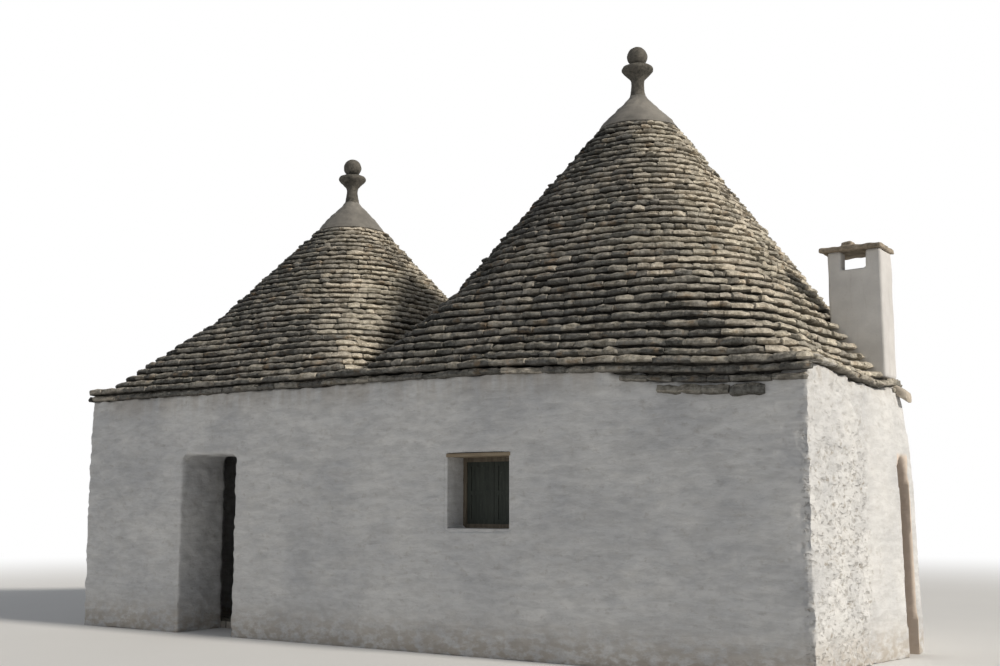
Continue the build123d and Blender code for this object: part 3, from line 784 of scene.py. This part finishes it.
# Outline of each cone at the eave, the shoulder and the top: east, west and half depth, and four corner radii
EAVE_HALF = HALF_DEPTH + OVERHANG
MAIN_AXIS = X_RIGHT - MAIN_X
MAIN_SHAPES = (
    (MAIN_AXIS + OVERHANG, VALLEY_FROM_RIGHT - MAIN_AXIS, EAVE_HALF, (0.15, 0.30, HALF_DEPTH, 0.15)),
    (1.955, 2.05, 1.95, (1.45, 1.45, 1.65, 1.45)),
    (0.475, 0.475, 0.475, (0.461,) * 4),
)
SIDE_SHAPES = (
    (SIDE_HALF, SIDE_HALF + OVERHANG, EAVE_HALF, (0.30, 0.15, 0.15, 0.30)),
    (1.60, 1.60, 1.75, (1.30,) * 4),
    (0.46, 0.46, 0.46, (0.446,) * 4),
)


def course_path(axis_x, shapes, roof_top, z):
    """Outline of the course at this height."""
    eave, shoulder, top = shapes
    if z < SHOULDER_Z:
        east, west, half, radii = blend(eave, shoulder, (z - WALL_TOP) / (SHOULDER_Z - WALL_TOP))
    else:
        east, west, half, radii = blend(shoulder, top, (z - SHOULDER_Z) / (roof_top - SHOULDER_Z))
    return rounded_path(axis_x, east, west, half, half, radii)


def course_levels(z0, z1, first, last):
    """Course heights that thin out towards the top."""
    count = round((z1 - z0) / ((first + last) / 2))
    sizes = [first + (last - first) * i / (count - 1) for i in range(count)]
    scale = (z1 - z0) / sum(sizes)
    levels = [z0]
    for size in sizes:
        levels.append(levels[-1] + size * scale)
    return levels


def seed_of(text):
    """Whole number made from the letters, the same in every run."""
    return sum(ord(c) * (i + 1) for i, c in enumerate(text))


def cone(axis_x, shapes, roof_top, bands, seed):
    """All courses of one roof, one piece for each CAD node from its lower to its upper height."""
    levels = course_levels(HEAD_TOP, roof_top, 0.090, 0.068)
    for node, z_from, z_to in bands:
        stones = Stones(seed + seed_of(node))
        rings = []
        for z0, z1 in zip(levels, levels[1:]):
            if not z_from - 1e-6 <= z0 < z_to - 1e-6:
                continue
            share = (z0 - HEAD_TOP) / (roof_top - HEAD_TOP)
            path = course_path(axis_x, shapes, roof_top, z0)
            shortest, longest = blend(0.11, 0.08, share), blend(0.38, 0.22, share)
            stones.ring(path, z0, z1, blend(0.34, 0.20, share), shortest, longest)
            rings.append((path, z0 - 0.01, 0.085))
            rings.append((path, z1 - 0.02, 0.115))
        stones.core(rings)
        stones.place(node + "_slabs", [node])


cone(MAIN_X, MAIN_SHAPES, MAIN_TOP, (
    ("main_roof_eave", HEAD_TOP, SHOULDER_Z),
    ("main_roof_middle", SHOULDER_Z, MAIN_MIDDLE),
    ("main_roof_upper", MAIN_MIDDLE, MAIN_TOP),
), 11)
cone(SIDE_X, SIDE_SHAPES, SIDE_TOP, (
    ("side_roof_eave", HEAD_TOP, SHOULDER_Z),
    ("side_roof_upper", SHOULDER_Z, SIDE_TOP),
), 29)

# Head courses all round the walls, with the plate behind them
HEAD_PATH = rounded_path(0, X_RIGHT + OVERHANG, -(X_LEFT - OVERHANG), EAVE_HALF, EAVE_HALF,
                         (0.10, 0.13, EAVE_HALF, 0.10))


def right_of_corner(x, y, z):
    """The lowest course stops at the near corner and starts again behind the chimney."""
    return x > X_RIGHT - 0.02 and 0.02 < y - Y_FRONT < 2.6 and z < WALL_TOP + 0.02


def head_depth(x, y):
    """Shallow slabs where the course passes in front of the chimney."""
    beside = x > X_RIGHT - 0.02 and CHIMNEY_LO.y - 0.25 < y < CHIMNEY_HI.y + 0.25
    return 0.055 if beside else 0.30


def limed(x, y):
    """Lime wash has run onto a few stones beside the near corner."""
    return 0.55 if x > X_RIGHT and 0.15 < y - Y_FRONT < 0.7 else 0.0


def tucked(x, y):
    """The head courses stand back where they pass behind the chimney."""
    t = y - Y_FRONT
    return 0.06 * smooth(2.45, 2.62, t) * smooth(3.6, 3.2, t) if x > X_RIGHT - 0.3 else 0.0


def path_place(path, x, y):
    """Running length of the path's point nearest to (x, y)."""
    pts, _, run = path
    return run[int(np.argmin(np.hypot(pts[:-1, 0] - x, pts[:-1, 1] - y)))]


head = Stones(5)
at_corner = path_place(HEAD_PATH, X_RIGHT + OVERHANG, Y_FRONT + 0.04)
for row in range(2):
    base = WALL_TOP + row * COURSE
    head.ring(HEAD_PATH, base, base + COURSE, head_depth, 0.16, 0.48, right_of_corner, limed, tucked,
              at_corner + 0.3 * row)
head.place("wall_head_slabs", [])

# The plate is the CAD course itself, drawn in and let down behind the stones; its dark rubble colour is made
# darker still as painted shade where it shows in the gaps
plate = merged_copy(["wall_head_courses"])
inset = 0.13
for v in plate.verts:
    x, y = v.co.x, v.co.y
    if x > REAR_X and y > 0 and math.hypot(x - REAR_X, y) > HALF_DEPTH - 0.02:
        scale = (EAVE_HALF - inset) / EAVE_HALF
        v.co.x, v.co.y = REAR_X + (x - REAR_X) * scale, y * scale
    else:
        if x > X_RIGHT - 0.3:
            v.co.x -= inset
        if x < X_LEFT + 0.01:
            v.co.x += inset
        if y < Y_FRONT + 0.01:
            v.co.y += inset
        if y > Y_BACK - 0.01:
            v.co.y -= inset
    v.co.z -= sag(v.co.x, v.co.y, HEAD_Z) + 0.02
plate_mesh = bpy.data.meshes.new("wall_head_bed")
plate.to_mesh(plate_mesh)
plate.free()
adopt("wall_head_bed", plate_mesh, BED, ["wall_head_courses"], 30)


def run_of(stones, path, a, b, z0, z1, depth, lengths, **more):
    """Stones of the given lengths, in turn, from a to b on the path."""
    s, k = a, 0
    while s < b - 0.04:
        length = min(lengths[k % len(lengths)], b - s)
        if b - s - length < 0.12:
            length = b - s
        stones.slab(path, s + 0.004, s + length - 0.004, z0, z1, depth, **more)
        s += length
        k += 1


# Extra courses under the eave at the low near corner, and their bed, in the darkest tone with the painted gap
# shade all over
corner = Stones(8)
FRONT_LINE = rounded_path(0, X_RIGHT + 0.055, -(X_LEFT - 0.05), HALF_DEPTH + 0.062, HALF_DEPTH + 0.05,
                          (0.05, 0.06, 1.0, 0.05))
corner_at = path_place(FRONT_LINE, X_RIGHT + 0.05, Y_FRONT - 0.06)
run_of(corner, FRONT_LINE, corner_at - 1.86, corner_at + 0.02, WALL_TOP - COURSE, WALL_TOP - 0.006, 0.26,
       (0.30, 0.26, 0.34, 0.22, 0.40, 0.30))
run_of(corner, FRONT_LINE, corner_at - 1.47, corner_at - 0.745, WALL_TOP - 2 * COURSE - 0.022,
       WALL_TOP - COURSE - 0.008, 0.24, (0.24, 0.22, 0.28), full=0.9)
run_of(corner, FRONT_LINE, corner_at - 0.735, corner_at - 0.41, WALL_TOP - 2 * COURSE - 0.038,
       WALL_TOP - COURSE - 0.008, 0.24, (0.4,), swell=0.014, tone=0.40, full=0.95)
BED_LINE = rounded_path(0, X_RIGHT - 0.03, -(X_LEFT - 0.05), HALF_DEPTH - 0.03, HALF_DEPTH + 0.05,
                        (0.05, 0.05, 1.0, 0.05))
bed_at = path_place(BED_LINE, X_RIGHT - 0.03, Y_FRONT + 0.03)
run_of(corner, BED_LINE, bed_at - 1.82, bed_at - 0.13, WALL_TOP - COURSE - 0.005, WALL_TOP + 0.02, 0.20,
       (0.45,), tone=0.0, full=1.0, buried=True)
corner.place("near_corner_slabs", ["corner_courses"])

# Stone under the right eave behind the bay, ending in the sloping spout
spout_lo, spout_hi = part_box("eave_spout")
spout_fall = 0.75
spout = bmesh.new()
add_box(spout, (X_RIGHT - 0.22, spout_lo.y - 0.01, spout_lo.z + 0.04),
        (spout_hi.x - 0.015, spout_hi.y, spout_lo.z + 0.145))
for v in spout.verts:
    v.co.z -= spout_fall * (v.co.x - X_RIGHT) + 0.02
spout_mesh = remeshed(spout, 0.018)
displace(spout_mesh, lambda p: 0.022 * ripple(p.x * 7, p.y * 7, p.z * 7, 3.0) - 0.002)
adopt("spout_stone", spout_mesh, PALE_STONE, ["eave_spout", "right_eave_course"], 60)


# Pinnacles


def lathe(name, axis_x, profile, material, nodes, wobble, seed, turns=56):
    """Turned stone: profile points of (radius, height) from low to high, closed at both ends."""
    fine = []
    for (r0, z0), (r1, z1) in zip(profile, profile[1:]):
        parts = max(1, int(math.hypot(r1 - r0, z1 - z0) / 0.012))
        fine += [(r0 + (r1 - r0) * i / parts, z0 + (z1 - z0) * i / parts) for i in range(parts)]
    fine.append(profile[-1])
    verts, faces = [], []
    for r, z in fine:
        for i in range(turns):
            turn = 2 * math.pi * i / turns
            x, y = math.cos(turn), math.sin(turn)
            lumps = ripple(x * 2.2 * r * 9, y * 2.2 * r * 9, z * 11, seed)
            bump = wobble * (lumps + 0.5 * ripple(x * 3, y * 3, z * 30, seed + 1))
            reach = max(0.001, r + bump * min(1.0, r / 0.05))
            verts.append((axis_x + x * reach, y * reach, z))
    for k in range(len(fine) - 1):
        a, b = k * turns, (k + 1) * turns
        faces += [(a + i, a + (i + 1) % turns, b + (i + 1) % turns, b + i) for i in range(turns)]
    faces.append(tuple(reversed(range(turns))))
    faces.append(tuple((len(fine) - 1) * turns + i for i in range(turns)))
    return place(name, verts, faces, material, nodes, 40)


def arc(points, samples=8):
    """Smooth curve through the given profile points."""
    pts = [np.array(p, float) for p in points]
    out = []
    for i in range(len(pts) - 1):
        p0, p1, p2 = pts[max(i - 1, 0)], pts[i], pts[i + 1]
        p3 = pts[min(i + 2, len(pts) - 1)]
        for j in range(samples):
            t = j / samples
            out.append(0.5 * (2 * p1 + (p2 - p0) * t + (2 * p0 - 5 * p1 + 4 * p2 - p3) * t * t
                              + (3 * p1 - p0 - 3 * p2 + p3) * t ** 3))
    out.append(pts[-1])
    return [tuple(p) for p in out]


for prefix, axis_x, half, seed in (("main", MAIN_X, 0.475, 1.0), ("side", SIDE_X, 0.46, 5.0)):
    base, neck = (corner.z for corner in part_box(prefix + "_collar"))
    rim, top = (corner.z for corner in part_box(prefix + "_ball"))
    lathe(prefix + "_collar_plaster", axis_x, [(half - 0.02, base - 0.02)] + arc(
        [(half + 0.01, base + 0.005), (half - 0.012, base + 0.035), (half - 0.062, base + 0.105),
         (0.315, base + 0.205), (0.215, base + 0.305), (0.135, neck - 0.045), (0.100, neck + 0.004)]
    ), COLLAR, [prefix + "_collar"], 0.012, seed)
    lathe(prefix + "_dish_stone", axis_x, arc(
        [(0.104, neck - 0.02), (0.086, neck + 0.06), (0.076, neck + 0.16), (0.088, neck + 0.215),
         (0.128, neck + 0.262), (0.172, neck + 0.305), (0.190, neck + 0.335), (0.184, neck + 0.362),
         (0.160, rim - 0.008), (0.10, rim + 0.002), (0.02, rim + 0.006)]
    ), WEATHERED, [prefix + "_dish"], 0.007, seed + 2)
    radius = 0.123
    centre = top - radius
    low = math.asin(max(-0.96, (rim - 0.01 - centre) / radius))
    lathe(prefix + "_ball_stone", axis_x, [
        (max(0.004, radius * math.cos(a)), centre + radius * math.sin(a))
        for a in np.linspace(low, math.pi / 2 - 0.02, 26)
    ], WEATHERED, [prefix + "_ball"], 0.006, seed + 3)


# Chimney
CHIMNEY_NODES = ["chimney_shaft", "chimney_pillars"]
skin_mesh = remeshed(merged_copy(CHIMNEY_NODES), 0.016)
displace(skin_mesh, lambda p: 0.010 * ripple(p.x / 0.30, p.y / 0.30, p.z / 0.30, 2.0) + 0.007)
adopt("chimney_plaster_skin", skin_mesh, PLASTER, CHIMNEY_NODES, 60)

# Thin slab with a worn stone on top
cap_lo, cap_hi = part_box("chimney_cap")
cap = bmesh.new()
add_box(cap, (cap_lo.x - 0.004, cap_lo.y - 0.004, cap_lo.z + 0.002),
        (cap_hi.x + 0.022, cap_hi.y + 0.004, cap_lo.z + 0.050))
lump_x = cap_lo.x + 0.46 * (cap_hi.x - cap_lo.x)
add_box(cap, (lump_x - 0.055, cap_lo.y + 0.02, cap_lo.z + 0.02),
        (lump_x + 0.055, cap_lo.y + 0.15, cap_lo.z + 0.094))
cap_mesh = remeshed(cap, 0.011)
displace(cap_mesh, lambda p: 0.011 * ripple(p.x / 0.09, p.y / 0.09, p.z / 0.06, 4.0))
adopt("chimney_cap_slab", cap_mesh, CAP, ["chimney_cap"], 60)


# Carried-over nodes


def paint(node, material, bevel=0.0):
    """Gives a CAD node that stays visible its material, and worn edges."""
    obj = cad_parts[node]
    obj.data.materials.clear()
    obj.data.materials.append(material)
    if bevel:
        mod = obj.modifiers.new("worn_edges", "BEVEL")
        mod.width, mod.segments, mod.limit_method = bevel, 2, "ANGLE"
        mod.angle_limit = math.radians(40)


paint("window_frame", FRAME_WOOD, 0.003)
paint("window_leaf_left", LEAF_WOOD, 0.002)
paint("window_leaf_right", LEAF_WOOD, 0.002)
paint("main_floor", FLAGS)
paint("side_floor", FLAGS)
for dome in ("main_dome_lower", "main_dome_upper", "side_dome_lower", "side_dome_upper"):
    paint(dome, VAULT)


# Camera, floor and light
PHOTO_WIDTH = 1000
FOCAL = 1225          # focal length in pixels of the photograph
HORIZON_BELOW = 172   # pixels from the middle of the photograph down to its horizon
SENSOR_WIDTH = 36     # millimetres
EYE = (X_RIGHT + 3.632, Y_FRONT - 10.307, 1.5)
HEADING = 33.5        # degrees that the view is turned from +Y towards -X
scene = bpy.context.scene
camera_data = bpy.data.cameras.new("photo_camera")
camera_data.sensor_width = SENSOR_WIDTH
camera_data.lens = SENSOR_WIDTH * FOCAL / PHOTO_WIDTH
camera_data.clip_end = 300
camera = bpy.data.objects.new("photo_camera", camera_data)
scene.collection.objects.link(camera)
camera.location = EYE
heading, rise = math.radians(HEADING), math.atan(HORIZON_BELOW / FOCAL)
look = Vector((-math.sin(heading) * math.cos(rise), math.cos(heading) * math.cos(rise), math.sin(rise)))
camera.rotation_mode = "QUATERNION"
camera.rotation_quaternion = look.to_track_quat("-Z", "Y")
scene.camera = camera


def backdrop_rays(tree):
    """1 on camera, glossy and transmission rays, which see a white backdrop."""
    rays = tree.nodes.new("ShaderNodeLightPath")
    value = rays.outputs["Is Camera Ray"]
    for kind in ("Is Glossy Ray", "Is Transmission Ray"):
        either = tree.nodes.new("ShaderNodeMath")
        either.operation = "MAXIMUM"
        tree.links.new(value, either.inputs[0])
        tree.links.new(rays.outputs[kind], either.inputs[1])
        value = either.outputs[0]
    return value


# Plain pale floor that fades to white far from the house
FADE_FROM, FADE_TO, FLOOR_REACH = 9, 26, 90
kit = Kit("pale_floor")
kit.finish(kit.ramp(kit.noise(kit.coords, 0.4, 2), [(0.3, 0.80), (0.7, 0.82)]), 0.95)
distance = kit.add("ShaderNodeVectorMath", operation="LENGTH")
kit.put(distance.inputs[0], kit.coords)
glow = kit.add("ShaderNodeEmission")
glow.inputs["Strength"].default_value = 1.0
fade = kit.add("ShaderNodeMixShader")
seen_white = backdrop_rays(kit.tree)
kit.put(fade.inputs[0], kit.times(seen_white, kit.span(distance.outputs["Value"], FADE_FROM, FADE_TO)))
kit.put(fade.inputs[1], kit.bsdf.outputs[0])
kit.put(fade.inputs[2], glow.outputs[0])
kit.put(kit.out.inputs[0], fade.outputs[0])
floor_mesh = bpy.data.meshes.new("floor")
corners = ((-1, -1), (1, -1), (1, 1), (-1, 1))
floor_mesh.from_pydata([(x * FLOOR_REACH, y * FLOOR_REACH, 0) for x, y in corners], [], [(0, 1, 2, 3)])
floor_mesh.materials.append(kit.mat)
floor = bpy.data.objects.new("floor", floor_mesh)
scene.collection.objects.link(floor)

# World: soft cool light on the house, white behind it
world = bpy.data.worlds.new("studio")
scene.world = world
world.use_nodes = True
tree = world.node_tree
tree.nodes.clear()
out = tree.nodes.new("ShaderNodeOutputWorld")
mixer = tree.nodes.new("ShaderNodeMixShader")
tree.links.new(backdrop_rays(tree), mixer.inputs[0])
for socket, colour, strength in ((1, (0.93, 0.96, 1.0, 1), 0.235), (2, (1, 1, 1, 1), 1.0)):
    background = tree.nodes.new("ShaderNodeBackground")
    background.inputs["Color"].default_value = colour
    background.inputs["Strength"].default_value = strength
    tree.links.new(background.outputs[0], mixer.inputs[socket])
tree.links.new(mixer.outputs[0], out.inputs[0])


def sun(name, direction, strength, colour, angle):
    """A sun lamp, its angle in degrees."""
    data = bpy.data.lights.new(name, "SUN")
    data.energy, data.color, data.angle = strength, colour, math.radians(angle)
    obj = bpy.data.objects.new(name, data)
    scene.collection.objects.link(obj)
    obj.rotation_mode = "QUATERNION"
    obj.rotation_quaternion = Vector(direction).to_track_quat("-Z", "Y")


sun("key", (-0.88, -0.02, -0.47), 3.05, (1.0, 0.93, 0.82), 6)
sun("fill", (0.20, 0.90, -0.20), 0.12, (0.92, 0.96, 1.0), 40)

scene.view_settings.view_transform = "Standard"
